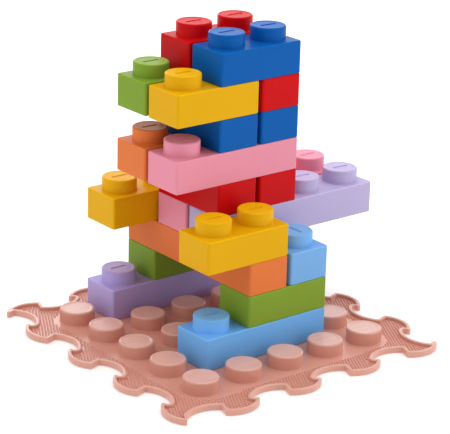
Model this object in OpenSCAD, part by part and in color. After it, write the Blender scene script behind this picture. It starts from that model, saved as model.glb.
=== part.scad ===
// Tower of large stud-and-socket play blocks standing on an interlocking studded floor tile.
// The origin is the centre of the tile's underside, +X and +Y run along the rows of studs, +Z is up.

/* [Studs] */
// Diameter of every stud
stud_d = 29; // [24:0.5:34]
// Height of every stud
stud_h = 11.5; // [8:0.5:14]

/* [Blocks] */
// Height of a block without its studs
block_h = 26.8; // [22:0.2:34]
// Thickness of a block's outer walls and roof
wall = 3.2; // [2:0.1:4]
// Radius of a block's upright edges
edge_r = 2; // [0.5:0.1:3]
// Thickness of the web between two sockets of a block
web = 3; // [2:0.1:5]
// Width of a rib that grips a stud
rib_w = 3; // [2:0.1:6]
// Height of such a rib on a socket's outer wall
rib_h = 1.3; // [0.8:0.1:3]
// Play between a stud and the ribs around it
stud_play = 0.3; // [0.2:0.05:0.6]
// Gap between two blocks that stand side by side
block_gap = 3.4; // [2:0.1:5]

/* [Tile] */
// Thickness of the tile's floor
floor_t = 1.8; // [1.2:0.1:4]
// Height of the tile's rim above its floor
rim_rise = 3.1; // [1:0.1:4]
// Width of the tile's rim
rim_w = 3; // [2.4:0.1:4]
// Distance from the outer row of studs to the line on which the edge teeth sit
tile_margin = 40; // [38:0.5:46]

/* [Edge teeth] */
// Radius of a tooth's outer curve
crown_r = 25; // [24:0.1:30]
// Radius of a tooth's hooked tip
tip_r = 2; // [1.6:0.1:2.3]
// Height of the step that starts a tooth, to each side of the edge line
step_half = 4.8; // [4:0.1:7]
// Lean of that step, to each side of its middle
step_lean = 1.6; // [0:0.1:3]

/* [Hidden] */
$fn = 64;

// Colours of the mouldings
terracotta = "#cf9484";
sky = "#6c9fd6";
purple = "#a08aba";
green = "#829f3c";
orange = "#e2844f";
yellow = "#e4ac24";
lavender = "#b2a6cf";
pink = "#ec94a6";
red = "#c52028";
blue = "#2264ae";

// Steps of the grid to each block's first cell, as its column, row and layer, and how many cells it has
sky_front_foot_steps = [1, 1, 1, 3];
purple_rear_foot_steps = [1, 4, 1, 3];
green_front_riser_steps = [2, 1, 2, 2];
green_rear_riser_steps = [2, 4, 2, 2];
orange_bridge_steps = [2, 1, 3, 4];
sky_side_block_steps = [3, 1, 3, 2];
yellow_front_block_steps = [1, 1, 4, 2];
yellow_rear_block_steps = [1, 4, 4, 2];
lavender_arm_steps = [2, 2, 4, 4];
pink_arm_steps = [2, 3, 4, 4];
red_left_tie_steps = [2, 2, 5, 2];
red_right_tie_steps = [3, 2, 5, 2];
pink_long_block_steps = [1, 2, 6, 3];
orange_long_block_steps = [1, 3, 6, 3];
blue_left_tie_steps = [2, 2, 7, 2];
blue_right_tie_steps = [3, 2, 7, 2];
yellow_upper_block_steps = [1, 2, 8, 2];
green_upper_block_steps = [1, 3, 8, 2];
red_upper_tie_steps = [3, 2, 8, 2];
blue_top_block_steps = [2, 2, 9, 2];
red_top_block_steps = [2, 3, 9, 2];

// Counts on the tile: studs in a row, and teeth on a side
studs_in_row = 5;
teeth_on_side = 4;
// Straight pieces that stand for a tooth's crown and for its tip
crown_steps = 12;
tip_steps = 6;

// Depth by which one solid runs into another, and by which a cut runs past a face
overrun = 1;

// Sizes that follow from the stud outwards: the ribs around it, the socket, the block and the grid's pitch
stud_r = stud_d / 2;
grip_r = stud_r + stud_play;
socket_half = grip_r + rib_h;
block_w = 2 * (socket_half + wall);
pitch = block_w + block_gap;
socket_h = block_h - wall;
bay_half = (pitch - web) / 2;

// Sizes that follow from the tile's own
middle_stud = (studs_in_row - 1) / 2;
tile_half = middle_stud * pitch + tile_margin;
tooth_pitch = 2 * tile_half / teeth_on_side;
rim_h = floor_t + rim_rise;

// Point where a circle (centre c, radius r) and a circle (centre d, radius s) meet, on the left from c to d
function meet(c, r, d, s) =
    let (gap = norm(d - c), along = (gap ^ 2 + r ^ 2 - s ^ 2) / (2 * gap), u = (d - c) / gap)
    c + along * u + sqrt(r ^ 2 - along ^ 2) * [-u.y, u.x];

// Point where the line through p along the unit direction u leaves the circle (centre c, radius r)
function leave(p, u, c, r) =
    let (foot = (c - p) * u, off = norm(c - p - foot * u))
    p + (foot + sqrt(r ^ 2 - off ^ 2)) * u;

// Bearing of point p from centre c, in degrees from 0 to 360
function bearing(c, p) = (atan2(p.y - c.y, p.x - c.x) + 360) % 360;

// Points along a circle from bearing a to bearing b, and the same without the first one
function arc(c, r, a, b, steps, first = 0) =
    [for (k = [first : steps]) c + r * [cos(a + (b - a) * k / steps), sin(a + (b - a) * k / steps)]];
function arc_on(c, r, a, b, steps) = arc(c, r, a, b, steps, 1);

// One tooth in its own axes: +x along the edge to the tip, +y out of the tile, 0 at the middle of its step
// A tooth and the bay after it are one shape, turned by half a turn about the middle of the hook
hook = [tooth_pitch / 2, 0];
tip_c = hook + [0, tip_r];
bay_tip_c = hook - [0, tip_r];
step_top = [-step_lean, step_half];
step_dir = step_top / norm(step_top);
crown_c = meet(tip_c, crown_r - tip_r, step_top, crown_r);
bay_c = 2 * hook - crown_c;
tip_bearing = bearing(crown_c, tip_c);

// Step lines of a tooth and of the next one, moved into the tile by an inset
function step_point(inset) = inset * [step_dir.y, -step_dir.x];
function next_step_point(inset) = [tooth_pitch, 0] + step_point(inset);

// Ends of the crown and of the bay at those lines
function crown_start(inset) = leave(step_point(inset), step_dir, crown_c, crown_r - inset);
function bay_end(inset) = leave(next_step_point(inset), -step_dir, bay_c, crown_r + inset);

// Crown of a tooth, from its step towards its tip
function crown_arc(inset, last) =
    arc(crown_c, crown_r - inset, bearing(crown_c, crown_start(inset)), last, crown_steps);

// Tip of a tooth, round the outside, and the hook from there into the bay
// Where the inset eats up the tip, the crown and the hook meet in a point instead
function tip_arc(inset) = arc_on(tip_c, tip_r - inset, tip_bearing, -90, tip_steps);
function hook_from(inset, first) = arc_on(bay_tip_c, tip_r + inset, first, 180 + tip_bearing, tip_steps);
function hook_point(inset) = meet(crown_c, crown_r - inset, bay_tip_c, tip_r + inset);
function hooked_crown(inset) =
    inset < tip_r
    ? concat(crown_arc(inset, tip_bearing), tip_arc(inset), hook_from(inset, 90))
    : concat(crown_arc(inset, bearing(crown_c, hook_point(inset))),
             hook_from(inset, bearing(bay_tip_c, hook_point(inset))));

// Bay after a tooth, from the hook to a given end, and the tooth with a bay up to the next step
function bay_to(inset, end) =
    arc_on(bay_c, crown_r + inset, 180 + tip_bearing, bearing(bay_c, end), crown_steps);
function bay_arc(inset) = bay_to(inset, bay_end(inset));
function tooth(inset) = concat(hooked_crown(inset), bay_arc(inset));

// The tooth at a corner is a horn, whose inner edge is the step that ends the bay round the corner
// Where the inset eats up its tip, its crown and that bay meet in a point instead
corner_bay_c = [hook.x + bay_c.y, bay_c.x - tooth_pitch];
function corner_point(inset) = meet(crown_c, crown_r - inset, corner_bay_c, crown_r + inset);
function horn(inset) =
    inset < tip_r
    ? concat(crown_arc(inset, tip_bearing), tip_arc(inset))
    : crown_arc(inset, bearing(crown_c, corner_point(inset)));
function corner_bay_end(inset) =
    inset < tip_r
    ? bay_end(inset)
    : [corner_point(inset).y + tooth_pitch, corner_point(inset).x - hook.x];

// Points moved along the edge by a number of teeth
function moved(points, teeth) = [for (p = points) p + [teeth * tooth_pitch, 0]];

// Points joined end to end from a list of lists, and a list turned end for end
function joined(lists) = [for (points = lists) each points];
function turned(points) = [for (k = [len(points) - 1 : -1 : 0]) points[k]];

// Front side: it starts with a bay at its left corner and ends with a horn at its right corner
function front_side(inset) =
    let (first = -(teeth_on_side - 1) / 2)
    joined([moved(bay_arc(inset), first - 1),
            for (k = [0 : teeth_on_side - 2]) moved(tooth(inset), first + k),
            moved(horn(inset), -first)]);
// Left side: its first tooth starts at the front corner, and a bay ends it at a horn
function left_side(inset) =
    let (last = teeth_on_side / 2 - 1)
    joined([for (k = [-teeth_on_side / 2 : last - 1]) moved(tooth(inset), k),
            moved(hooked_crown(inset), last),
            moved(bay_to(inset, corner_bay_end(inset)), last)]);

// Half of the tile's outline, anticlockwise from the left rear corner to the right front corner
// The other half of the whole outline is the first one turned by half a turn
function half_outline(inset) =
    concat([for (p = turned(left_side(inset))) [-tile_half - p.y, p.x]],
           [for (p = front_side(inset)) [p.x, -tile_half - p.y]]);
function outline(inset) = concat(half_outline(inset), -half_outline(inset));

// Cuts between the quarters of the rim: rays from the tile's middle through the crowns of two teeth
// They end at a distance well outside the tile
far = tile_half + crown_r;
left_cut = [-far, crown_c.x];
front_cut = [crown_c.x - hook.x, -far];

// Puts its children on a spot of the grid: column and row from the left front stud, layer from the tile
module place(spot) {
    x = (spot[0] - middle_stud) * pitch;
    y = (spot[1] - middle_stud) * pitch;
    z = floor_t + (spot[2] - 1) * block_h;
    translate([x, y, z]) children();
}

// Outer form of a block without studs, with true round upright edges
module block_body(cells) {
    length = cells * pitch - block_gap;
    translate([-block_w / 2, -block_w / 2, 0]) {
        translate([edge_r, 0, 0]) cube([length - 2 * edge_r, block_w, block_h]);
        translate([0, edge_r, 0]) cube([length, block_w - 2 * edge_r, block_h]);
        for (x = [edge_r, length - edge_r], y = [edge_r, block_w - edge_r])
            translate([x, y, 0]) cylinder(r = edge_r, h = block_h);
    }
}

// Hollow of one cell: the square socket, open below
module socket(near_half, far_half) {
    translate([-near_half, -socket_half, -overrun])
        cube([near_half + far_half, 2 * socket_half, socket_h + overrun]);
}

// Rib on the wall at the given distance from a socket's middle, in the direction of +X
module rib(reach) {
    translate([grip_r, -rib_w / 2, 0]) cube([reach - grip_r + wall / 2, rib_w, socket_h + wall / 2]);
}

// Shell of a block of one row of cells along +X, standing on the origin at its first cell
module shell(cells) {
    difference() {
        block_body(cells);
        for (k = [0 : cells - 1])
            translate([k * pitch, 0, 0])
                socket(k == 0 ? socket_half : bay_half, k == cells - 1 ? socket_half : bay_half);
    }
    for (k = [0 : cells - 1])
        translate([k * pitch, 0, 0]) {
            rib(k == cells - 1 ? socket_half : bay_half);
            rotate(180) rib(k == 0 ? socket_half : bay_half);
            rotate(90) rib(socket_half);
            rotate(270) rib(socket_half);
        }
}

// Studs of that block, standing on its roof
module studs(cells) {
    for (k = [0 : cells - 1])
        translate([k * pitch, 0, block_h]) cylinder(d = stud_d, h = stud_h);
}

// A block along +X at its spot, and one along +Y: their shells and their studs
module block(spot) {
    place(spot) shell(spot[3]);
}

module block_studs(spot) {
    place(spot) studs(spot[3]);
}

module cross_block(spot) {
    place(spot) rotate(90) shell(spot[3]);
}

module cross_block_studs(spot) {
    place(spot) rotate(90) studs(spot[3]);
}

// Floor of the tile, with the hooked edge
module base_tile() {
    color(terracotta) linear_extrude(floor_t) polygon(outline(0));
}

// Raised rim along the edge of one quarter of the tile, between two cuts through the crowns of teeth
module rim(from_cut, corner, to_cut) {
    color(terracotta)
        translate([0, 0, floor_t])
            linear_extrude(rim_rise)
                intersection() {
                    difference() {
                        polygon(outline(0));
                        polygon(outline(rim_w));
                    }
                    polygon([[0, 0], from_cut, corner, to_cut]);
                }
}

module front_left_rim() {
    rim(left_cut, [-far, -far], front_cut);
}

module front_right_rim() {
    rim(front_cut, [far, -far], -left_cut);
}

module rear_right_rim() {
    rim(-left_cut, [far, far], -front_cut);
}

module rear_left_rim() {
    rim(-front_cut, [-far, far], left_cut);
}

// Studs that are moulded in one with the tile's floor
module tile_studs() {
    color(terracotta)
        for (column = [0 : studs_in_row - 1], row = [0 : studs_in_row - 1])
            place([column, row, 1]) cylinder(d = stud_d, h = stud_h);
}

// First layer: the two feet on the tile
module sky_front_foot() {
    color(sky) block(sky_front_foot_steps);
}

module sky_front_foot_studs() {
    color(sky) block_studs(sky_front_foot_steps);
}

module purple_rear_foot() {
    color(purple) block(purple_rear_foot_steps);
}

module purple_rear_foot_studs() {
    color(purple) block_studs(purple_rear_foot_steps);
}

// Second layer: a riser on each foot
module green_front_riser() {
    color(green) block(green_front_riser_steps);
}

module green_front_riser_studs() {
    color(green) block_studs(green_front_riser_steps);
}

module green_rear_riser() {
    color(green) block(green_rear_riser_steps);
}

module green_rear_riser_studs() {
    color(green) block_studs(green_rear_riser_steps);
}

// Third layer: the bridge from one riser to the other, and the block beside it
module orange_bridge() {
    color(orange) cross_block(orange_bridge_steps);
}

module orange_bridge_studs() {
    color(orange) cross_block_studs(orange_bridge_steps);
}

module sky_side_block() {
    color(sky) cross_block(sky_side_block_steps);
}

module sky_side_block_studs() {
    color(sky) cross_block_studs(sky_side_block_steps);
}

// Fourth layer: two short blocks and the two arms that reach out to the right
module yellow_front_block() {
    color(yellow) block(yellow_front_block_steps);
}

module yellow_front_block_studs() {
    color(yellow) block_studs(yellow_front_block_steps);
}

module yellow_rear_block() {
    color(yellow) block(yellow_rear_block_steps);
}

module yellow_rear_block_studs() {
    color(yellow) block_studs(yellow_rear_block_steps);
}

module lavender_arm() {
    color(lavender) block(lavender_arm_steps);
}

module lavender_arm_studs() {
    color(lavender) block_studs(lavender_arm_steps);
}

module pink_arm() {
    color(pink) block(pink_arm_steps);
}

module pink_arm_studs() {
    color(pink) block_studs(pink_arm_steps);
}

// Fifth layer: two ties across the arms
module red_left_tie() {
    color(red) cross_block(red_left_tie_steps);
}

module red_left_tie_studs() {
    color(red) cross_block_studs(red_left_tie_steps);
}

module red_right_tie() {
    color(red) cross_block(red_right_tie_steps);
}

module red_right_tie_studs() {
    color(red) cross_block_studs(red_right_tie_steps);
}

// Sixth layer: two blocks that reach out to the left
module pink_long_block() {
    color(pink) block(pink_long_block_steps);
}

module pink_long_block_studs() {
    color(pink) block_studs(pink_long_block_steps);
}

module orange_long_block() {
    color(orange) block(orange_long_block_steps);
}

module orange_long_block_studs() {
    color(orange) block_studs(orange_long_block_steps);
}

// Seventh layer: two more ties
module blue_left_tie() {
    color(blue) cross_block(blue_left_tie_steps);
}

module blue_left_tie_studs() {
    color(blue) cross_block_studs(blue_left_tie_steps);
}

module blue_right_tie() {
    color(blue) cross_block(blue_right_tie_steps);
}

module blue_right_tie_studs() {
    color(blue) cross_block_studs(blue_right_tie_steps);
}

// Eighth layer: two short blocks that reach out to the left, and a tie beside them
module yellow_upper_block() {
    color(yellow) block(yellow_upper_block_steps);
}

module yellow_upper_block_studs() {
    color(yellow) block_studs(yellow_upper_block_steps);
}

module green_upper_block() {
    color(green) block(green_upper_block_steps);
}

module green_upper_block_studs() {
    color(green) block_studs(green_upper_block_steps);
}

module red_upper_tie() {
    color(red) cross_block(red_upper_tie_steps);
}

module red_upper_tie_studs() {
    color(red) cross_block_studs(red_upper_tie_steps);
}

// Ninth layer: the two blocks on top
module blue_top_block() {
    color(blue) block(blue_top_block_steps);
}

module blue_top_block_studs() {
    color(blue) block_studs(blue_top_block_steps);
}

module red_top_block() {
    color(red) block(red_top_block_steps);
}

module red_top_block_studs() {
    color(red) block_studs(red_top_block_steps);
}

base_tile();
front_left_rim();
front_right_rim();
rear_right_rim();
rear_left_rim();
tile_studs();
sky_front_foot();
sky_front_foot_studs();
purple_rear_foot();
purple_rear_foot_studs();
green_front_riser();
green_front_riser_studs();
green_rear_riser();
green_rear_riser_studs();
orange_bridge();
orange_bridge_studs();
sky_side_block();
sky_side_block_studs();
yellow_front_block();
yellow_front_block_studs();
yellow_rear_block();
yellow_rear_block_studs();
lavender_arm();
lavender_arm_studs();
pink_arm();
pink_arm_studs();
red_left_tie();
red_left_tie_studs();
red_right_tie();
red_right_tie_studs();
pink_long_block();
pink_long_block_studs();
orange_long_block();
orange_long_block_studs();
blue_left_tie();
blue_left_tie_studs();
blue_right_tie();
blue_right_tie_studs();
yellow_upper_block();
yellow_upper_block_studs();
green_upper_block();
green_upper_block_studs();
red_upper_tie();
red_upper_tie_studs();
blue_top_block();
blue_top_block_studs();
red_top_block();
red_top_block_studs();
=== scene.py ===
"""Looks of a tower of stud-and-socket play blocks that stands on a hooked, studded floor tile."""

import logging
import math
from dataclasses import dataclass, field
from enum import Enum
from typing import Any, Callable, Iterable, Iterator, Optional, Sequence

import bmesh
import bpy
from mathutils import Matrix, Vector
from mathutils.bvhtree import BVHTree


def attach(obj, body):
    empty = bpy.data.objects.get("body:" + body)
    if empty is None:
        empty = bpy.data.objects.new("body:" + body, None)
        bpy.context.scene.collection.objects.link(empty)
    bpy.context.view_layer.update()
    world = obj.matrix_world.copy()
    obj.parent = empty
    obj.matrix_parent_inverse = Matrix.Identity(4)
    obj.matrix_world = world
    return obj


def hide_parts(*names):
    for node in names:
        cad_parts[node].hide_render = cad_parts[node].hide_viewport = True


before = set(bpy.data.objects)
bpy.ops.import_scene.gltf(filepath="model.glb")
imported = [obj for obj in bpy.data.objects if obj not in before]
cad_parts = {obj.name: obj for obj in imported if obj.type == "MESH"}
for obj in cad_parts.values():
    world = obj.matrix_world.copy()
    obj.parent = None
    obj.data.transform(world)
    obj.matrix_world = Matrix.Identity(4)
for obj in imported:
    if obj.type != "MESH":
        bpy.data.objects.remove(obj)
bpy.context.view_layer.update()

LOG = logging.getLogger("block_tower")
# A millimetre in Blender's metres.
MM = 0.001
# Points nearer than this, in metres, are one.
WELD = 1e-6
# Edges that bend by more than this stay sharp.
SHARP = math.radians(40)
QUARTER_TURN = math.pi / 2
UP = Vector((0.0, 0.0, 1.0))
WHITE = (1.0, 1.0, 1.0, 1.0)
# Point attribute that says how much painted sheen, a paler tint standing in for light caught on tops and
# edges, a surface gets.
PAINTED_SHEEN = "painted_sheen"


class Colour(Enum):
    """Colours that the mouldings come in."""

    TERRACOTTA = "terracotta"
    SKY = "sky"
    PURPLE = "purple"
    GREEN = "green"
    ORANGE = "orange"
    YELLOW = "yellow"
    LAVENDER = "lavender"
    PINK = "pink"
    RED = "red"
    BLUE = "blue"
    # A deeper copy of sky blue, painted shade for the low front foot; the moulding is the same sky blue.
    SHADED_SKY = "deep_sky"

    @property
    def slot(self) -> str:
        """The record's material slot, which sky blue and its painted-shade copy share."""
        return Colour.SKY.value if self is Colour.SHADED_SKY else self.value


class Heading(Enum):
    """Direction in which a block's cells follow each other, as a turn about the upright axis."""

    ALONG_X = 0.0
    ALONG_Y = QUARTER_TURN


class Socket:
    """An output socket that takes part in Python expressions; each operator adds a Math node."""

    def __init__(self, graph: "Graph", output: bpy.types.NodeSocket) -> None:
        """Keeps the graph that the socket belongs to."""
        self.graph = graph
        self.output = output

    def _maths(self, operation: str, left: Any, right: Any) -> "Socket":
        """Adds one Math node.

        Args:
            operation: The node's operation.
            left: First number or socket.
            right: Second number or socket.

        Returns:
            The node's result.
        """
        return self.graph.node("ShaderNodeMath", {"operation": operation}, {0: left, 1: right})

    def __add__(self, other: Any) -> "Socket":
        """Sum with a number or socket."""
        return self._maths("ADD", self, other)

    def __radd__(self, other: Any) -> "Socket":
        """Sum with a number on the left."""
        return self._maths("ADD", other, self)

    def __sub__(self, other: Any) -> "Socket":
        """Difference from a number or socket."""
        return self._maths("SUBTRACT", self, other)

    def __rsub__(self, other: Any) -> "Socket":
        """Difference of a number on the left."""
        return self._maths("SUBTRACT", other, self)

    def __mul__(self, other: Any) -> "Socket":
        """Product with a number or socket."""
        return self._maths("MULTIPLY", self, other)

    def __rmul__(self, other: Any) -> "Socket":
        """Product with a number on the left."""
        return self._maths("MULTIPLY", other, self)


class Graph:
    """The node tree of one material or world."""

    def __init__(self, tree: bpy.types.NodeTree) -> None:
        """Takes a tree and empties it."""
        self.tree = tree
        tree.nodes.clear()

    def node(
        self,
        kind: str,
        settings: Optional[dict[str, Any]] = None,
        sockets: Optional[dict[Any, Any]] = None,
        out: Any = 0,
    ) -> Socket:
        """Adds a node.

        Args:
            kind: The node's type.
            settings: Values of the node's own properties; they are set first.
            sockets: Numbers, colours or sockets for the node's inputs.
            out: Name or index of the output that is wanted.

        Returns:
            That output, ready for expressions.
        """
        made = self.tree.nodes.new(kind)
        for name, value in (settings or {}).items():
            setattr(made, name, value)
        for key, value in (sockets or {}).items():
            if isinstance(value, Socket):
                self.tree.links.new(value.output, made.inputs[key])
            else:
                made.inputs[key].default_value = value
        return Socket(self, made.outputs[out] if made.outputs else None)

    def noise(self, place: Socket, scale: float, detail: float = 2.0) -> Socket:
        """Noise between 0 and 1.

        Args:
            place: Coordinates in metres.
            scale: Features per metre.
            detail: Octaves of finer noise.

        Returns:
            The noise.
        """
        return self.node("ShaderNodeTexNoise", {}, {"Vector": place, "Scale": scale, "Detail": detail})

    def blend(self, share: Socket, first: Any, second: Any) -> Socket:
        """Mix of two colours.

        Args:
            share: Share of the second colour.
            first: First colour, linear, as numbers or a socket.
            second: Second colour, in the same form.

        Returns:
            The mixed colour.
        """
        first, second = (c if isinstance(c, Socket) else (*c, 1.0) for c in (first, second))
        # A Mix node's sockets share their names, so its colours go by number.
        return self.node("ShaderNodeMix", {"data_type": "RGBA"}, {0: share, 6: first, 7: second}, out=2)


def linear(srgb: Sequence[int]) -> tuple[float, float, float]:
    """Linear colour of an sRGB one, by the standard's curve.

    Args:
        srgb: Three numbers from 0 to 255.

    Returns:
        Three numbers from 0 to 1.
    """
    shares = [value / 255 for value in srgb]
    return tuple(s / 12.92 if s <= 0.04045 else ((s + 0.055) / 1.055) ** 2.4 for s in shares)


@dataclass(frozen=True)
class Moulded:
    """Satin moulded plastic with a clouded tint, a fine grain and paler streaks of painted sheen on crowns
    and edges, standing in for light caught there.

    Scales are features per metre; depths and shares run from 0 to 1.
    """

    colour: Colour
    srgb: tuple[int, int, int]
    roughness: float = 0.34
    refraction: float = 1.17
    cloud_scale: float = 26.0
    cloud_depth: float = 0.05
    cloud_share: float = 0.7
    cloud_lift: float = 0.003
    grain_scale: float = 1500.0
    grain_detail: float = 1.0
    grain_height: float = 0.05 * MM
    grain_strength: float = 0.25
    smudge_scale: float = 60.0
    smudge_detail: float = 3.0
    smudge_depth: float = 0.10
    # Painted sheen: where marked, the tint turns paler by the first share and partly white by the second,
    # standing in for light caught on tops and edges.
    sheen: float = 0.16
    palest: float = 0.95
    sheen_white: float = 0.0
    streak_scales: tuple[float, float, float] = (50.0, 240.0, 50.0)
    streak_detail: float = 3.0
    streak_gain: float = 1.6
    streak_least: float = 0.1

    def material(self) -> bpy.types.Material:
        """Builds the node material.

        Returns:
            The material, on Object coordinates.
        """
        made = bpy.data.materials.new(f"{self.colour.value}_moulding")
        made.use_nodes = True
        graph = Graph(made.node_tree)
        place = graph.node("ShaderNodeTexCoord", out="Object")
        cloud = graph.noise(place, self.cloud_scale)
        smudge = graph.noise(place, self.smudge_scale, self.smudge_detail)
        grain = graph.noise(place, self.grain_scale, self.grain_detail)
        clouds = cloud * self.cloud_share + grain * (1 - self.cloud_share)
        bump = graph.node(
            "ShaderNodeBump",
            {},
            {"Height": grain, "Strength": self.grain_strength, "Distance": self.grain_height},
        )
        shader = graph.node(
            "ShaderNodeBsdfPrincipled",
            {},
            {
                "Base Color": self._tint(graph, place, clouds),
                "Roughness": self.roughness + self.smudge_depth * (smudge - 0.5),
                "IOR": self.refraction,
                "Normal": bump,
            },
        )
        graph.node("ShaderNodeOutputMaterial", {}, {"Surface": shader})
        return made

    def _tint(self, graph: Graph, place: Socket, clouds: Socket) -> Socket:
        """Clouded colour, paler in streaks where sheen is painted on for light caught on crowns and edges.

        Args:
            graph: The material's node tree.
            place: Object coordinates.
            clouds: Pattern of the clouds, between 0 and 1.

        Returns:
            The colour.
        """
        base = linear(self.srgb)
        dark = [c * (1 - self.cloud_depth) for c in base]
        light = [min(1.0, c * (1 + self.cloud_depth) + self.cloud_lift) for c in base]
        pale = [min(self.palest, c * (1 + self.sheen)) * (1 - self.sheen_white) + self.sheen_white for c in base]
        stretched = graph.node("ShaderNodeMapping", {}, {"Vector": place, "Scale": self.streak_scales})
        streak = graph.noise(stretched, 1.0, self.streak_detail)
        # Painted sheen: the marked share, in streaks, blends the tint toward the pale colour.
        painted_sheen = graph.node("ShaderNodeAttribute", {"attribute_name": PAINTED_SHEEN}, out="Fac")
        sheened = painted_sheen * (streak * self.streak_gain + self.streak_least)
        return graph.blend(sheened, graph.blend(clouds, dark, light), pale)


def plastic(colour: Colour, *srgb: int) -> Moulded:
    """A block's finish in the given colour."""
    return Moulded(colour, srgb)


FINISHES: dict[Colour, Moulded] = {
    finish.colour: finish
    for finish in (
        plastic(Colour.SKY, 124, 180, 236),
        # Deeper sky blue: painted shade for the front foot.
        plastic(Colour.SHADED_SKY, 118, 186, 252),
        plastic(Colour.PURPLE, 187, 172, 229),
        plastic(Colour.GREEN, 131, 163, 52),
        plastic(Colour.ORANGE, 231, 124, 64),
        plastic(Colour.YELLOW, 232, 175, 2),
        plastic(Colour.LAVENDER, 191, 180, 219),
        plastic(Colour.PINK, 236, 149, 170),
        plastic(Colour.RED, 207, 6, 14),
        plastic(Colour.BLUE, 2, 93, 175),
        # Terracotta's painted sheen on crowns, rim crest and pips goes partly to white.
        Moulded(Colour.TERRACOTTA, (222, 160, 142), roughness=0.31, refraction=1.5, sheen=0.05, sheen_white=0.15),
    )
}


@dataclass(frozen=True)
class Grid:
    """The grid of cells that the tile and the blocks share, in metres."""

    pitch: float = 42.0 * MM
    layer: float = 26.8 * MM
    floor: float = 1.8 * MM
    middle: float = 2.0

    def spot(self, column: float, row: float, layer: int) -> Vector:
        """Middle of a cell's underside.

        Args:
            column: Cells along X from the tile's front corner stud.
            row: Cells along Y from the same stud.
            layer: Layers of blocks, from 1 on the tile's floor.

        Returns:
            The point in the part's frame.
        """
        across = (column - self.middle) * self.pitch
        deep = (row - self.middle) * self.pitch
        return Vector((across, deep, self.floor + (layer - 1) * self.layer))


GRID = Grid()


def round_off(bm: bmesh.types.BMesh, edges: Iterable[Any], size: float, segments: int) -> None:
    """Rounds edges off.

    Args:
        bm: The mesh.
        edges: Edges to round.
        size: Distance from each edge at which the rounding starts.
        segments: Faces across the rounding.
    """
    bmesh.ops.bevel(
        bm,
        geom=list(edges),
        offset=size,
        offset_type="OFFSET",
        segments=segments,
        profile=0.5,
        affect="EDGES",
        material=-1,
        clamp_overlap=True,
    )


def add_box(bm: bmesh.types.BMesh, low: Vector, high: Vector) -> list[Any]:
    """Adds a box.

    Args:
        bm: The mesh.
        low: Lowest corner.
        high: Highest corner.

    Returns:
        The box's vertices.
    """
    verts = bmesh.ops.create_cube(bm, size=1.0)["verts"]
    bmesh.ops.scale(bm, vec=high - low, verts=verts)
    bmesh.ops.translate(bm, vec=(low + high) / 2, verts=verts)
    return verts


def stamp(bm: bmesh.types.BMesh, pattern: bpy.types.Mesh, place: Matrix) -> None:
    """Adds a copy of a small mesh.

    Args:
        bm: The mesh that takes the copy.
        pattern: The small mesh, about its own origin.
        place: Where the copy goes.
    """
    pattern.transform(place)
    bm.from_mesh(pattern)
    pattern.transform(place.inverted())


def mark_painted_sheen(mesh: bpy.types.Mesh, share_at: Callable[[float], float]) -> None:
    """Marks how much painted sheen each point of a mesh gets.

    Args:
        mesh: The mesh.
        share_at: Gives a point's share, from 0 to 1, from its height.
    """
    layer = mesh.attributes.new(PAINTED_SHEEN, "FLOAT", "POINT")
    layer.data.foreach_set("value", [share_at(vertex.co.z) for vertex in mesh.vertices])


def as_mesh(bm: bmesh.types.BMesh, name: str) -> bpy.types.Mesh:
    """Turns a bmesh into a mesh with smooth faces and frees it.

    Args:
        bm: The bmesh.
        name: Name of the new mesh.

    Returns:
        The mesh.
    """
    mesh = bpy.data.meshes.new(name)
    for face in bm.faces:
        face.smooth = True
    bm.to_mesh(mesh)
    bm.free()
    return mesh


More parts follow.
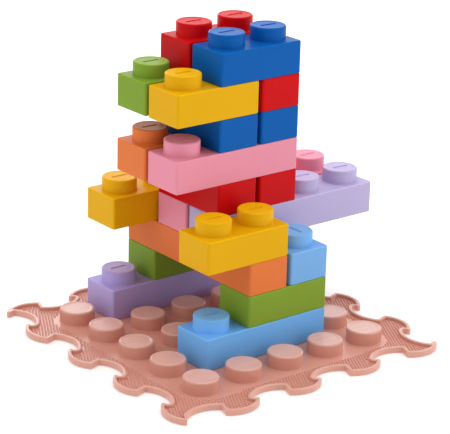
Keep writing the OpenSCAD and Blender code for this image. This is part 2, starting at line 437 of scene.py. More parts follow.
@dataclass(frozen=True)
class StudForm:
    """A round stud with a flared root, a rounded crown and a shallow dish that may hold a plain slot.

    The root's rounding takes a share of its flare, and the slot's corners a share of its width.
    """

    radius: float = 14.5 * MM
    height: float = 11.5 * MM
    root: float = 0.7 * MM
    root_share: float = 0.96
    crown: float = 1.3 * MM
    rim: float = 2.6 * MM
    dish: float = 0.25 * MM
    dish_slope: float = 4.0
    dish_round: float = 0.8 * MM
    dish_steps: int = 3
    slot: Optional[tuple[float, float]] = (15.0 * MM, 3.6 * MM)
    slot_depth: float = 0.45 * MM
    slot_share: float = 0.45
    sink: float = 0.02 * MM
    round_steps: int = 4
    steps: int = 56

    @property
    def sheened(self) -> float:
        """Height on the stud above which its crown gets painted sheen."""
        return self.height - self.dish - 2 * self.sink

    def _ring(self, bm: bmesh.types.BMesh, radius: float, level: float) -> list[Any]:
        """Edges of a ring.

        Args:
            bm: The stud's mesh.
            radius: The ring's radius.
            level: The ring's height.

        Returns:
            The ring's edges.
        """
        slack = 0.01 * MM
        return [
            edge
            for edge in bm.edges
            if all(
                abs(v.co.z - level) < slack and abs(v.co.xy.length - radius) < slack for v in edge.verts
            )
        ]

    def mesh(self) -> bpy.types.Mesh:
        """Spins the stud about its own axis, with its root at height 0.

        Returns:
            The stud's mesh, open below.
        """
        bm = bmesh.new()
        dish_edge = self.radius - self.rim
        profile = [
            (self.radius + self.root, 0.0),
            (self.radius, 0.0),
            (self.radius, self.height),
            (dish_edge, self.height),
            (dish_edge - self.dish_slope * self.dish, self.height - self.dish),
        ]
        verts = [bm.verts.new((r, 0.0, z - self.sink)) for r, z in profile]
        edges = [bm.edges.new(pair) for pair in zip(verts, verts[1:])]
        bmesh.ops.spin(
            bm,
            geom=verts + edges,
            cent=(0, 0, 0),
            axis=UP,
            angle=math.tau,
            steps=self.steps,
            use_merge=True,
            use_duplicate=False,
        )
        bmesh.ops.remove_doubles(bm, verts=bm.verts, dist=WELD)
        bmesh.ops.recalc_face_normals(bm, faces=bm.faces)
        if max(bm.faces, key=lambda f: f.calc_center_median().z).normal.z < 0:
            bmesh.ops.reverse_faces(bm, faces=bm.faces)
        self._fill_dish(bm)
        top = self.height - self.sink
        flare = self.root_share * self.root
        round_off(bm, self._ring(bm, self.radius, top), self.crown, self.round_steps)
        round_off(bm, self._ring(bm, self.radius, -self.sink), flare, self.round_steps)
        round_off(bm, self._ring(bm, dish_edge, top), self.dish_round, self.dish_steps)
        return as_mesh(bm, "stud")

    def _fill_dish(self, bm: bmesh.types.BMesh) -> None:
        """Closes the stud's crown with the dish's floor and any slot in it.

        Args:
            bm: The stud's mesh, open above and below.
        """
        level = self.height - self.dish - self.sink
        brim = [e for e in bm.edges if e.is_boundary and all(abs(v.co.z - level) < WELD for v in e.verts)]
        if self.slot:
            brim += self._sink_slot(bm, level)
        bmesh.ops.triangle_fill(bm, edges=brim, use_beauty=True, use_dissolve=False, normal=UP)

    def _sink_slot(self, bm: bmesh.types.BMesh, level: float) -> list[Any]:
        """Sinks the slot's walls and floor into the dish.

        Args:
            bm: The stud's mesh.
            level: Height of the dish's floor.

        Returns:
            The edges of the slot's mouth.
        """
        verts = bmesh.ops.create_grid(bm, x_segments=1, y_segments=1, size=0.5)["verts"]
        bmesh.ops.scale(bm, vec=(*self.slot, 1), verts=verts)
        bmesh.ops.translate(bm, vec=UP * level, verts=verts)
        ends = bmesh.ops.bevel(
            bm,
            geom=verts,
            offset=self.slot_share * self.slot[1],
            segments=self.round_steps,
            profile=0.5,
            affect="VERTICES",
            material=-1,
        )
        mouth = ends["verts"][0].link_faces[0]
        rim = list(mouth.edges)
        floor = bmesh.ops.extrude_discrete_faces(bm, faces=[mouth])["faces"][0]
        bmesh.ops.translate(bm, vec=-UP * self.slot_depth, verts=list(floor.verts))
        return rim


@dataclass(frozen=True)
class BlockMould:
    """A block with one row of cells: shell, webs, ribs and studs, along +X from its first cell."""

    gap: float = 3.4 * MM
    wall: float = 3.2 * MM
    web: float = 3.0 * MM
    rib: float = 3.0 * MM
    play: float = 0.3 * MM
    edge: float = 2.0 * MM
    edge_steps: int = 4
    brow: float = 1.1 * MM
    brow_steps: int = 3
    # Share of the brow's rounding, from its top, that gets a painted highlight.
    brow_sheen: tuple[float, float] = (0.05, 0.95)
    foot: float = 1.0 * MM
    foot_steps: int = 2
    stud: StudForm = field(default_factory=StudForm)

    @property
    def half(self) -> float:
        """Half of a block's width."""
        return (GRID.pitch - self.gap) / 2

    @property
    def depth(self) -> float:
        """Height of a socket."""
        return GRID.layer - self.wall

    @property
    def rib_root(self) -> float:
        """How far a rib reaches into the wall behind it."""
        return self.wall / 4

    def mesh(self, cells: int, stud: bpy.types.Mesh) -> bpy.types.Mesh:
        """Builds a block.

        Args:
            cells: Number of cells.
            stud: Mesh of one stud.

        Returns:
            The block's mesh, standing on height 0 with its first cell on the origin.
        """
        bm = bmesh.new()
        end = (cells - 1) * GRID.pitch
        add_box(bm, Vector((-self.half, -self.half, 0)), Vector((end + self.half, self.half, GRID.layer)))
        upright = [e for e in bm.edges if abs(e.verts[0].co.z - e.verts[1].co.z) > WELD]
        round_off(bm, upright, self.edge, self.edge_steps)
        roof = max(bm.faces, key=lambda face: face.calc_center_median().z)
        round_off(bm, roof.edges, self.brow, self.brow_steps)
        sole = min(bm.faces, key=lambda face: face.calc_center_median().z)
        round_off(bm, sole.edges, self.foot, self.foot_steps)
        sole = min(bm.faces, key=lambda face: face.calc_center_median().z)
        rims = list(sole.edges)
        bmesh.ops.delete(bm, geom=[sole], context="FACES_ONLY")
        for cell in range(cells):
            rims += self._socket(bm, cell, cells)
        made = bmesh.ops.triangle_fill(bm, edges=rims, use_beauty=True, use_dissolve=False, normal=-UP)
        self._face(made["geom"], -UP)
        for cell in range(cells):
            self._ribs(bm, cell, cells)
            stamp(bm, stud, Matrix.Translation((cell * GRID.pitch, 0, GRID.layer)))
        mesh = as_mesh(bm, f"block_{cells}")
        mark_painted_sheen(mesh, self._painted_sheen)
        return mesh

    def _painted_sheen(self, height: float) -> float:
        """Painted sheen on a block: its studs' crowns and the given share of its brow, where a highlight is
        painted.

        Args:
            height: Height above the block's underside.

        Returns:
            1 where sheen is painted, else 0.
        """
        above = height - GRID.layer
        top, bottom = (-share * self.brow for share in self.brow_sheen)
        return float(above > self.stud.sheened or bottom < above < top)

    @staticmethod
    def _face(geometry: Iterable[Any], normal: Vector) -> None:
        """Turns faces to look along a normal.

        Args:
            geometry: Faces among other elements.
            normal: The normal.
        """
        for face in geometry:
            if isinstance(face, bmesh.types.BMFace):
                face.normal_update()
                if face.normal.dot(normal) < 0:
                    face.normal_flip()

    def _reach(self, cell: int, cells: int) -> tuple[float, float]:
        """Distances from a cell's middle to its end walls or webs.

        Args:
            cell: The cell's number.
            cells: Number of cells in the block.

        Returns:
            The distance on the near side and the one on the far side.
        """
        closed, open_side = self.half - self.wall, (GRID.pitch - self.web) / 2
        return (closed if cell == 0 else open_side), (closed if cell == cells - 1 else open_side)

    def _socket(self, bm: bmesh.types.BMesh, cell: int, cells: int) -> list[Any]:
        """Sinks one cell's socket.

        Args:
            bm: The block's mesh.
            cell: The cell's number.
            cells: Number of cells in the block.

        Returns:
            The edges of the socket's mouth.
        """
        near, far = self._reach(cell, cells)
        side = self.half - self.wall
        middle = Vector((cell * GRID.pitch, 0, 0))
        verts = bmesh.ops.create_grid(bm, x_segments=1, y_segments=1, size=0.5)["verts"]
        bmesh.ops.scale(bm, vec=(near + far, 2 * side, 1), verts=verts)
        bmesh.ops.translate(bm, vec=middle + Vector(((far - near) / 2, 0, 0)), verts=verts)
        mouth = verts[0].link_faces[0]
        rim = list(mouth.edges)
        self._face([mouth], -UP)
        roof = bmesh.ops.extrude_discrete_faces(bm, faces=[mouth])["faces"][0]
        bmesh.ops.translate(bm, vec=UP * self.depth, verts=list(roof.verts))
        return rim

    def _ribs(self, bm: bmesh.types.BMesh, cell: int, cells: int) -> None:
        """Adds the four ribs that grip a stud in one cell.

        Args:
            bm: The block's mesh.
            cell: The cell's number.
            cells: Number of cells in the block.
        """
        near, far = self._reach(cell, cells)
        side = self.half - self.wall
        middle = Vector((cell * GRID.pitch, 0, 0))
        for turn, reach in enumerate((far, side, near, side)):
            low = Vector((self.stud.radius + self.play, -self.rib / 2, self.foot))
            high = Vector((reach + self.rib_root, self.rib / 2, self.depth + self.rib_root))
            verts = add_box(bm, low, high)
            spin = Matrix.Rotation(turn * QUARTER_TURN, 3, "Z")
            bmesh.ops.rotate(bm, cent=(0, 0, 0), matrix=spin, verts=verts)
            bmesh.ops.translate(bm, vec=middle, verts=verts)


@dataclass(frozen=True)
class Block:
    """One block of the tower, by the cell that it starts on."""

    name: str
    colour: Colour
    cells: int
    heading: Heading
    column: int
    row: int
    layer: int

    def build(self, shells: dict[int, bpy.types.Mesh], material: bpy.types.Material) -> bpy.types.Object:
        """Places the block and dresses it.

        Args:
            shells: Mesh of a block for each number of cells.
            material: The block's material.

        Returns:
            The block's object.
        """
        mesh = shells[self.cells].copy()
        turn = Matrix.Rotation(self.heading.value, 4, "Z")
        mesh.transform(Matrix.Translation(GRID.spot(self.column, self.row, self.layer)) @ turn)
        nodes = [self.name, f"{self.name}_studs"]
        return show(f"{self.name}_moulding", mesh, material, self.name, self.colour.slot, nodes)


def show(
    name: str,
    mesh: bpy.types.Mesh,
    material: bpy.types.Material,
    body: str,
    slot: str,
    nodes: Sequence[str],
) -> bpy.types.Object:
    """Makes a finished piece of a mesh.

    Args:
        name: The piece's name.
        mesh: Its mesh, in the part's frame.
        material: Its material.
        body: The body that it rides on.
        slot: The record's slot for its finish; not used.
        nodes: The CAD nodes that it stands for.

    Returns:
        The piece's object.
    """
    mesh.materials.clear()
    mesh.materials.append(material)
    mesh.set_sharp_from_angle(angle=SHARP)
    piece = bpy.data.objects.new(name, mesh)
    bpy.context.scene.collection.objects.link(piece)
    normals = piece.modifiers.new("even_normals", "WEIGHTED_NORMAL")
    normals.keep_sharp = True
    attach(piece, body)
    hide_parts(*nodes)
    return piece


@dataclass(frozen=True)
class Stroke:
    """One line or arc of an outline, in the plane."""

    start: Vector
    end: Vector
    centre: Optional[Vector] = None
    steps: int = 1

    def backwards(self) -> "Stroke":
        """The same stroke drawn from its end."""
        return Stroke(self.end, self.start, self.centre, self.steps)

    def moved(self, move: Callable[[Vector], Vector]) -> "Stroke":
        """The stroke with its points moved."""
        return Stroke(move(self.start), move(self.end), self.centre and move(self.centre), self.steps)


class Pen:
    """Draws a chain of edges at one height."""

    def __init__(self, bm: bmesh.types.BMesh, start: Vector, level: float) -> None:
        """Sets the pen down.

        Args:
            bm: The mesh that takes the edges.
            start: Where the chain starts.
            level: Height of the chain.
        """
        self.bm = bm
        self.level = level
        self.tip = self.first = bm.verts.new((*start, level))
        self.edges: list[Any] = []

    def draw(self, stroke: Stroke) -> None:
        """Draws a line or an arc from where the pen is.

        Args:
            stroke: The stroke, whose start is where the pen is, or else a line leads there first.
        """
        here = self.tip.co.xy
        if stroke.centre is None or (here - stroke.start).length > WELD:
            self._line(stroke.end if stroke.centre is None else stroke.start)
        if stroke.centre is not None:
            self._arc(stroke)

    def _line(self, end: Vector) -> None:
        """Draws a line.

        Args:
            end: The point where it ends.
        """
        made = bmesh.ops.extrude_vert_indiv(self.bm, verts=[self.tip])
        self.tip = made["verts"][0]
        self.edges += made["edges"]
        bmesh.ops.translate(self.bm, vec=(*(end - self.tip.co.xy), 0), verts=[self.tip])

    def _arc(self, stroke: Stroke) -> None:
        """Draws an arc by spinning the pen's tip about the stroke's centre.

        Args:
            stroke: The arc, which starts where the pen is.
        """
        before = stroke.start - stroke.centre
        after = stroke.end - stroke.centre
        turn = -before.angle_signed(after, 0.0)
        old = set(self.bm.edges)
        made = bmesh.ops.spin(
            self.bm,
            geom=[self.tip],
            cent=(*stroke.centre, self.level),
            axis=UP,
            angle=turn,
            steps=stroke.steps,
            use_merge=False,
            use_duplicate=False,
        )
        self.tip = next(item for item in made["geom_last"] if isinstance(item, bmesh.types.BMVert))
        self.edges += [edge for edge in self.bm.edges if edge not in old]

    def close(self) -> list[Any]:
        """Joins the chain's end to its start.

        Returns:
            All the chain's edges.
        """
        self.edges.append(self.bm.edges.new((self.tip, self.first)))
        return self.edges


def meet(first: Vector, first_r: float, second: Vector, second_r: float) -> Vector:
    """Point where two circles meet, left of the way from the first centre to the second.

    Args:
        first: Centre of the first circle.
        first_r: Its radius.
        second: Centre of the second circle.
        second_r: Its radius.

    Returns:
        The point.
    """
    gap = (second - first).length
    along = (gap * gap + first_r * first_r - second_r * second_r) / (2 * gap)
    ahead = (second - first) / gap
    aside = math.sqrt(first_r * first_r - along * along)
    return first + along * ahead + aside * Vector((-ahead.y, ahead.x))


def leave(point: Vector, ahead: Vector, centre: Vector, radius: float) -> Vector:
    """Point where a line leaves a circle.

    Args:
        point: A point of the line.
        ahead: The line's direction, of length 1.
        centre: The circle's centre.
        radius: The circle's radius.

    Returns:
        The point.
    """
    foot = (centre - point).dot(ahead)
    off = (centre - point - foot * ahead).length
    return point + (foot + math.sqrt(radius * radius - off * off)) * ahead


@dataclass(frozen=True)
class HookedEdge:
    """Outline of the tile: hooked teeth and bays of one shape, four to a side, with a horn at two corners.

    In a tooth's own axes +x runs along the edge to the tip, +y out of the tile, and 0 is the middle of its
    step. An inset is the distance by which the outline is moved into the tile.
    """

    tile_half: float = 124.0 * MM
    teeth: int = 4
    crown_r: float = 25.0 * MM
    tip_r: float = 2.0 * MM
    step_half: float = 4.8 * MM
    step_lean: float = 1.6 * MM
    crown_steps: int = 14
    tip_steps: int = 7

    @property
    def pitch(self) -> float:
        """Distance from tooth to tooth."""
        return 2 * self.tile_half / self.teeth

    @property
    def hook(self) -> Vector:
        """Middle of a tooth's hook."""
        return Vector((self.pitch / 2, 0))

    @property
    def tip(self) -> Vector:
        """Centre of a tooth's tip."""
        return self.hook + Vector((0, self.tip_r))

    @property
    def bay_tip(self) -> Vector:
        """Centre of the tip of the tooth that fits into the bay."""
        return self.hook - Vector((0, self.tip_r))

    @property
    def step_ahead(self) -> Vector:
        """Direction of the step that starts a tooth."""
        return Vector((-self.step_lean, self.step_half)).normalized()

    @property
    def crown(self) -> Vector:
        """Centre of a tooth's outer curve."""
        top = Vector((-self.step_lean, self.step_half))
        return meet(self.tip, self.crown_r - self.tip_r, top, self.crown_r)

    @property
    def bay(self) -> Vector:
        """Centre of a bay's curve."""
        return 2 * self.hook - self.crown

    @property
    def outward(self) -> Vector:
        """Direction from a tooth's centre to its tip."""
        return (self.tip - self.crown).normalized()

    def _step_point(self, inset: float) -> Vector:
        """A point of the step's line, moved into the tile."""
        return inset * Vector((self.step_ahead.y, -self.step_ahead.x))

    def _crown(self, inset: float, end: Vector) -> Stroke:
        """Crown of a tooth, from its step to the given end."""
        start = leave(self._step_point(inset), self.step_ahead, self.crown, self.crown_r - inset)
        return Stroke(start, end, self.crown, self.crown_steps)

    def _tip_start(self, inset: float) -> Vector:
        """Point where a tooth's crown runs into its tip, or into the hook where the inset eats the tip up.

        Args:
            inset: The outline's inset.

        Returns:
            The point.
        """
        if inset < self.tip_r:
            return self.crown + (self.crown_r - inset) * self.outward
        return meet(self.crown, self.crown_r - inset, self.bay_tip, self.tip_r + inset)

    def _tip(self, inset: float, start: Vector) -> Stroke:
        """Tip of a tooth, which shrinks to a point under a large inset.

        Args:
            inset: The outline's inset.
            start: End of the crown.

        Returns:
            The tip's arc.
        """
        if inset < self.tip_r:
            return Stroke(start, self.hook + Vector((0, inset)), self.tip, self.tip_steps)
        return Stroke(start, start, start - self.outward, self.tip_steps)

    def _round_corner(self, point: Vector) -> Vector:
        """A point in the axes of a side's last tooth, given in the axes of the horn round the corner."""
        return Vector((self.hook.x + point.y, point.x - self.pitch))

    def _corner(self, inset: float) -> Vector:
        """Point where a horn's crown meets the bay round the corner, once the inset has eaten its tip up."""
        return meet(self.crown, self.crown_r - inset, self._round_corner(self.bay), self.crown_r + inset)

    def _bay(self, inset: float, at_horn: bool = False) -> Stroke:
        """Bay after a tooth, from the hook to the next step or to a horn.

        Args:
            inset: The outline's inset.
            at_horn: Whether the bay ends at a horn.

        Returns:
            The bay's arc.
        """
        start = self.bay - (self.crown_r + inset) * self.outward
        foot = Vector((self.pitch, 0)) + self._step_point(inset)
        end = leave(foot, -self.step_ahead, self.bay, self.crown_r + inset)
        if at_horn and inset >= self.tip_r:
            corner = self._corner(inset)
            end = Vector((corner.y + self.pitch, corner.x - self.hook.x))
        return Stroke(start, end, self.bay, self.crown_steps)

    def _tooth(self, inset: float, at_horn: bool = False) -> list[Stroke]:
        """A tooth and the bay after it.

        Args:
            inset: The outline's inset.
            at_horn: Whether the bay ends at a horn.

        Returns:
            The strokes of crown, tip, hook and bay.
        """
        crown = self._crown(inset, self._tip_start(inset))
        tip = self._tip(inset, crown.end)
        bay = self._bay(inset, at_horn)
        return [crown, tip, Stroke(tip.end, bay.start, self.bay_tip, self.tip_steps), bay]

    def _horn(self, inset: float) -> list[Stroke]:
        """The tooth at a corner, whose inner edge is the step that ends the bay round the corner.

        Args:
            inset: The outline's inset.

        Returns:
            The strokes of crown, tip and step.
        """
        end = self._tip_start(inset) if inset < self.tip_r else self._corner(inset)
        tip = self._tip(inset, end)
        return [self._crown(inset, end), tip, Stroke(tip.end, self._round_corner(self._bay(inset, True).end))]

    def _corner_bay(self, inset: float) -> Stroke:
        """The bay that starts the front side, without the first of its steps.

        Args:
            inset: The outline's inset.

        Returns:
            The bay's arc.
        """
        bay = self._bay(inset)
        turn = -(bay.start - bay.centre).angle_signed(bay.end - bay.centre) / bay.steps
        first = bay.centre + Matrix.Rotation(turn, 2) @ (bay.start - bay.centre)
        return Stroke(first, bay.end, bay.centre, bay.steps - 1)

    def _half(self, inset: float) -> Iterator[Stroke]:
        """Strokes of half the outline, from the left rear corner to the right front corner.

        Args:
            inset: The outline's inset.

        Yields:
            The strokes in the tile's plane.
        """

        def along(strokes: Iterable[Stroke], teeth: float) -> list[Stroke]:
            """Strokes moved along the edge by a number of teeth."""
            return [s.moved(lambda p: p + Vector((teeth * self.pitch, 0))) for s in strokes]

        last = self.teeth - 1
        left: list[Stroke] = []
        for k in range(self.teeth):
            left += along(self._tooth(inset, k == last), k - self.teeth / 2)
        for stroke in reversed(left):
            yield stroke.backwards().moved(lambda p: Vector((-self.tile_half - p.y, p.x)))
        first = -last / 2
        front = along([self._corner_bay(inset)], first - 1)
        for k in range(last):
            front += along(self._tooth(inset), first + k)
        front += along(self._horn(inset), -first)
        for stroke in front:
            yield stroke.moved(lambda p: Vector((p.x, -self.tile_half - p.y)))

    def draw(self, bm: bmesh.types.BMesh, inset: float, level: float) -> list[Any]:
        """Draws the whole outline.

        Args:
            bm: The tile's mesh.
            inset: The outline's inset.
            level: Height of the outline.

        Returns:
            The outline's edges.
        """
        strokes = list(self._half(inset))
        strokes += [s.moved(lambda p: -p) for s in strokes]
        pen = Pen(bm, strokes[0].start, level)
        for stroke in strokes:
            pen.draw(stroke)
        return pen.close()


@dataclass(frozen=True)
class PippedBorder:
    """Low round pips in slanted rows on the tile's border, which starts at a square with round corners.

    The rows reach over a number of half widths of the tile, and a pip has room for a number of its radii.
    """

    gap: float = 2.6 * MM
    row: float = 2.45 * MM
    stagger: float = 0.5
    turn: float = math.radians(61)
    reach: float = 1.6
    start: float = 104.6 * MM
    start_round: float = 24.0 * MM
    radius: float = 0.9 * MM
    height: float = 1.1 * MM
    taper: float = 0.8
    sides: int = 8
    room: float = 1.1
    probes: int = 6
    probe_height: float = 50.0 * MM
    # Painted sheen on the pips' tops: its share and the share of their height that it covers.
    sheen: float = 0.7
    sheen_share: float = 0.1

    def _pip(self) -> bpy.types.Mesh:
        """Builds one low round pip.

        Returns:
            The pip's mesh, open below.
        """
        bm = bmesh.new()
        bmesh.ops.create_cone(
            bm,
            cap_ends=True,
            segments=self.sides,
            radius1=self.radius,
            radius2=self.taper * self.radius,
            depth=self.height,
            matrix=Matrix.Translation((0, 0, self.height / 2)),
        )
        sole = min(bm.faces, key=lambda face: face.calc_center_median().z)
        bmesh.ops.delete(bm, geom=[sole], context="FACES_ONLY")
        crest = [e for e in bm.edges if all(v.co.z > self.height / 2 for v in e.verts)]
        round_off(bm, crest, self.height / 4, 1)
        return as_mesh(bm, "pip")

    def set_on(self, bm: bmesh.types.BMesh, tile_half: float) -> None:
        """Sets the pips on the tile.

        Args:
            bm: The tile's mesh, with its rim and floor.
            tile_half: Half of the tile's width.
        """
        tree = BVHTree.FromBMesh(bm)
        pip = self._pip()
        reach = int(self.reach * tile_half / self.row)
        turn = Matrix.Rotation(self.turn, 2)
        count = 0
        for row in range(-reach, reach + 1):
            shift = self.stagger * (row % 2)
            for place in range(-reach, reach + 1):
                spot = turn @ Vector(((place + shift) * self.gap, row * self.row))
                if self._clear(tree, spot):
                    stamp(bm, pip, Matrix.Translation((*spot, GRID.floor)))
                    count += 1
        LOG.info("floor tile: %d pips on the border", count)

    def _clear(self, tree: BVHTree, spot: Vector) -> bool:
        """Whether a pip fits on the border's floor at a spot.

        Args:
            tree: The tile's surface.
            spot: Middle of the pip.

        Returns:
            True where the floor is free all round.
        """
        past = [max(0.0, abs(c) - self.start + self.start_round) for c in spot]
        if math.hypot(*past) < self.start_round:
            return False
        for probe in range(self.probes):
            turn = Matrix.Rotation(probe * math.tau / self.probes, 2)
            side = spot + turn @ Vector((self.room * self.radius, 0))
            hit = tree.ray_cast(Vector((*side, self.probe_height)), -UP)[0]
            if hit is None or abs(hit.z - GRID.floor) > WELD:
                return False
        return True


@dataclass(frozen=True)
class FloorTile:
    """The floor tile: hooked outline, rounded rim, pipped border and rows of studs.

    The rim's section is in millimetres. Each point is an inset and, at the rim's foot, a height above the
    underside, at its crest a depth below its top, and at its root a height above the floor.
    """

    rim_rise: float = 3.1 * MM
    rim_foot: tuple[tuple[float, float], ...] = ((0.5, 0.0), (0.1, 0.2), (0.0, 0.6))
    rim_crest: tuple[tuple[float, float], ...] = (
        (0.0, 0.9), (0.15, 0.4), (0.6, 0.08), (1.1, 0.02),
        (1.8, 0.0), (2.5, 0.15), (2.9, 0.5), (3.0, 0.9),
    )
    rim_root: tuple[tuple[float, float], ...] = ((3.06, 0.3), (3.25, 0.0))
    # Painted sheen on the rim's crest: its share and the depth below the crest that it covers.
    rim_sheen: float = 0.7
    rim_sheen_depth: float = 0.45 * MM
    studs_in_row: int = 5
    edge: HookedEdge = field(default_factory=HookedEdge)
    pips: PippedBorder = field(default_factory=PippedBorder)
    stud: StudForm = field(
        default_factory=lambda: StudForm(crown=1.6 * MM, rim=2.2 * MM, dish=0.4 * MM, slot=None)
    )
    nodes: tuple[str, ...] = (
        "base_tile", "front_left_rim", "front_right_rim", "rear_right_rim", "rear_left_rim", "tile_studs",
    )

    def _section(self) -> list[tuple[float, float]]:
        """Section of the rim, from the underside over the top to the floor.

        Returns:
            Insets and heights.
        """
        top = GRID.floor + self.rim_rise
        foot = [(inset * MM, height * MM) for inset, height in self.rim_foot]
        crest = [(inset * MM, top - drop * MM) for inset, drop in self.rim_crest]
        root = [(inset * MM, GRID.floor + height * MM) for inset, height in self.rim_root]
        return foot + crest + root

    def build(self, material: bpy.types.Material) -> bpy.types.Object:
        """Builds the tile and dresses it.

        Args:
            material: The tile's material.

        Returns:
            The tile's object.
        """
        bm = bmesh.new()
        loops = [self.edge.draw(bm, inset, level) for inset, level in self._section()]
        for lower, upper in zip(loops, loops[1:]):
            bmesh.ops.bridge_loops(bm, edges=lower + upper)
        bmesh.ops.remove_doubles(bm, verts=bm.verts, dist=WELD)
        for level in (0.0, GRID.floor):
            brim = [e for e in bm.edges if e.is_boundary and abs(e.verts[0].co.z - level) < WELD]
            bmesh.ops.triangle_fill(bm, edges=brim, use_beauty=True, use_dissolve=False, normal=UP)
        bmesh.ops.recalc_face_normals(bm, faces=bm.faces)
        self.pips.set_on(bm, self.edge.tile_half)
        stud = self.stud.mesh()
        for column in range(self.studs_in_row):
            for row in range(self.studs_in_row):
                stamp(bm, stud, Matrix.Translation(GRID.spot(column, row, 1)))
        mesh = as_mesh(bm, "floor_tile")
        mark_painted_sheen(mesh, self._painted_sheen)
        slot = Colour.TERRACOTTA.slot
        return show("floor_tile_moulding", mesh, material, "base_tile", slot, self.nodes)

    def _painted_sheen(self, height: float) -> float:
        """Painted sheen on the tile: most on its studs' crowns, less on its rim's crest and its pips' tops.

        Args:
            height: Height above the tile's underside.

        Returns:
            The share, from 0 to 1.
        """
        above = height - GRID.floor
        if above > self.stud.sheened:
            return 1.0
        if abs(above - self.rim_rise) < self.rim_sheen_depth:
            return self.rim_sheen
        if abs(above - self.pips.height) < self.pips.sheen_share * self.pips.height:
            return self.pips.sheen
        return 0.0


@dataclass(frozen=True)
class Softbox:
    """A large soft light that looks at the tower."""

    name: str
    place: Vector
    size: tuple[float, float]
    power: float

    def build(self, aim: Vector) -> None:
        """Makes the light.

        Args:
            aim: The point that it looks at.
        """
        light = bpy.data.lights.new(self.name, "AREA")
        light.shape = "RECTANGLE"
        light.size, light.size_y = self.size
        light.energy = self.power
        lamp = bpy.data.objects.new(self.name, light)
        look = (self.place - aim).to_track_quat("Z", "Y").to_matrix().to_4x4()
        lamp.matrix_world = Matrix.Translation(self.place) @ look
        bpy.context.scene.collection.objects.link(lamp)


@dataclass(frozen=True)
class Studio:
    """Pale floor, soft lights, white surroundings and the camera."""

    aim: Vector = field(default_factory=lambda: Vector((0.0, 0.0, 0.11)))
    eye: Vector = field(default_factory=lambda: Vector((-0.90414, -1.12797, 0.61332)))
    azimuth: float = math.radians(-38.8107)
    elevation: float = math.radians(19.5269)
    roll: float = math.radians(1.482)
    sensor: float = 36.0
    focal_px: float = 1899.03
    image_width_px: int = 450
    clip: tuple[float, float] = (0.05, 200.0)
    floor_size: float = 40.0
    floor_drop: float = 0.3 * MM
    floor_shades: tuple[float, float] = (0.93, 0.95)
    floor_cloud_scale: float = 3.0
    floor_roughness: float = 0.8
    floor_glow: float = 0.2
    sky: float = 0.52
    lights: tuple[Softbox, ...] = (
        Softbox("left_softbox", Vector((-1.5, 0.45, 0.9)), (1.4, 1.4), 4.8),
        Softbox("right_softbox", Vector((0.85, -1.5, 0.9)), (1.4, 1.4), 5.8),
        Softbox("rim_softbox", Vector((1.5, -0.7, 0.9)), (1.2, 1.2), 4.9),
        Softbox("top_softbox", Vector((0.1, 0.2, 1.9)), (1.6, 1.6), 15.0),
        Softbox("back_panel", Vector((1.05, 1.35, 0.68)), (2.8, 0.7), 7.0),
        Softbox("corner_panel", Vector((0.62, 1.4, 0.6)), (0.2, 0.25), 1.4),
    )

    def build(self) -> None:
        """Sets up the whole studio."""
        self._camera()
        self._floor()
        self._surroundings()
        for light in self.lights:
            light.build(self.aim)
        bpy.context.scene.view_settings.view_transform = "Standard"

    def _camera(self) -> None:
        """Makes the camera at the photograph's place."""
        data = bpy.data.cameras.new("camera")
        data.sensor_width = self.sensor
        data.lens = self.focal_px / self.image_width_px * self.sensor
        data.clip_start, data.clip_end = self.clip
        flat = math.cos(self.elevation)
        across = math.sin(self.azimuth) * flat
        behind = -math.cos(self.azimuth) * flat
        back = Vector((across, behind, math.sin(self.elevation)))
        right = UP.cross(back).normalized()
        upward = back.cross(right)
        tilted = math.cos(self.roll) * right + math.sin(self.roll) * upward
        raised = math.cos(self.roll) * upward - math.sin(self.roll) * right
        camera = bpy.data.objects.new("camera", data)
        look = Matrix((tilted, raised, back)).transposed().to_4x4()
        camera.matrix_world = Matrix.Translation(self.eye) @ look
        bpy.context.scene.collection.objects.link(camera)
        bpy.context.scene.camera = camera

    def _floor(self) -> None:
        """Lays the pale floor."""
        bm = bmesh.new()
        bmesh.ops.create_grid(bm, x_segments=1, y_segments=1, size=self.floor_size / 2)
        bmesh.ops.translate(bm, vec=-UP * self.floor_drop, verts=bm.verts)
        floor = bpy.data.objects.new("studio_floor", as_mesh(bm, "studio_floor"))
        bpy.context.scene.collection.objects.link(floor)
        paper = bpy.data.materials.new("white_paper")
        paper.use_nodes = True
        graph = Graph(paper.node_tree)
        place = graph.node("ShaderNodeTexCoord", out="Object")
        dark, light = ((shade, shade, shade) for shade in self.floor_shades)
        shader = graph.node(
            "ShaderNodeBsdfPrincipled",
            {},
            {
                "Base Color": graph.blend(graph.noise(place, self.floor_cloud_scale), dark, light),
                "Roughness": self.floor_roughness,
                "Emission Color": WHITE,
                "Emission Strength": self.floor_glow,
            },
        )
        graph.node("ShaderNodeOutputMaterial", {}, {"Surface": shader})
        floor.data.materials.append(paper)

    def _surroundings(self) -> None:
        """Fills the studio with even white light."""
        world = bpy.data.worlds.new("white_studio")
        world.use_nodes = True
        bpy.context.scene.world = world
        graph = Graph(world.node_tree)
        light = graph.node("ShaderNodeBackground", {}, {"Color": WHITE, "Strength": self.sky})
        graph.node("ShaderNodeOutputWorld", {}, {"Surface": light})


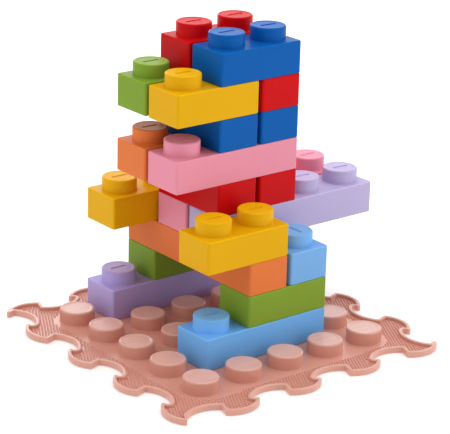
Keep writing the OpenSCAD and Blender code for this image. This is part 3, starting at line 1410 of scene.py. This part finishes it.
X, Y = Heading.ALONG_X, Heading.ALONG_Y
TOWER: tuple[Block, ...] = (
    # The front foot wears the deeper sky blue, painted shade.
    Block("sky_front_foot", Colour.SHADED_SKY, 3, X, 1, 1, 1),
    Block("purple_rear_foot", Colour.PURPLE, 3, X, 1, 4, 1),
    Block("green_front_riser", Colour.GREEN, 2, X, 2, 1, 2),
    Block("green_rear_riser", Colour.GREEN, 2, X, 2, 4, 2),
    Block("orange_bridge", Colour.ORANGE, 4, Y, 2, 1, 3),
    Block("sky_side_block", Colour.SKY, 2, Y, 3, 1, 3),
    Block("yellow_front_block", Colour.YELLOW, 2, X, 1, 1, 4),
    Block("yellow_rear_block", Colour.YELLOW, 2, X, 1, 4, 4),
    Block("lavender_arm", Colour.LAVENDER, 4, X, 2, 2, 4),
    Block("pink_arm", Colour.PINK, 4, X, 2, 3, 4),
    Block("red_left_tie", Colour.RED, 2, Y, 2, 2, 5),
    Block("red_right_tie", Colour.RED, 2, Y, 3, 2, 5),
    Block("pink_long_block", Colour.PINK, 3, X, 1, 2, 6),
    Block("orange_long_block", Colour.ORANGE, 3, X, 1, 3, 6),
    Block("blue_left_tie", Colour.BLUE, 2, Y, 2, 2, 7),
    Block("blue_right_tie", Colour.BLUE, 2, Y, 3, 2, 7),
    Block("yellow_upper_block", Colour.YELLOW, 2, X, 1, 2, 8),
    Block("green_upper_block", Colour.GREEN, 2, X, 1, 3, 8),
    Block("red_upper_tie", Colour.RED, 2, Y, 3, 2, 8),
    Block("blue_top_block", Colour.BLUE, 2, X, 2, 2, 9),
    Block("red_top_block", Colour.RED, 2, X, 2, 3, 9),
)


def main() -> None:
    """Builds the studio, the tile and the blocks, and reports each piece."""
    Studio().build()
    materials = {colour: finish.material() for colour, finish in FINISHES.items()}
    pieces = [FloorTile().build(materials[Colour.TERRACOTTA])]
    mould = BlockMould()
    stud = mould.stud.mesh()
    shells = {cells: mould.mesh(cells, stud) for cells in sorted({block.cells for block in TOWER})}
    pieces += [block.build(shells, materials[block.colour]) for block in TOWER]
    for piece in pieces:
        LOG.info("%s: %d faces", piece.name, len(piece.data.polygons))


if __name__ == "__main__":
    logging.basicConfig(level=logging.INFO, format="%(name)s %(message)s")
    main()
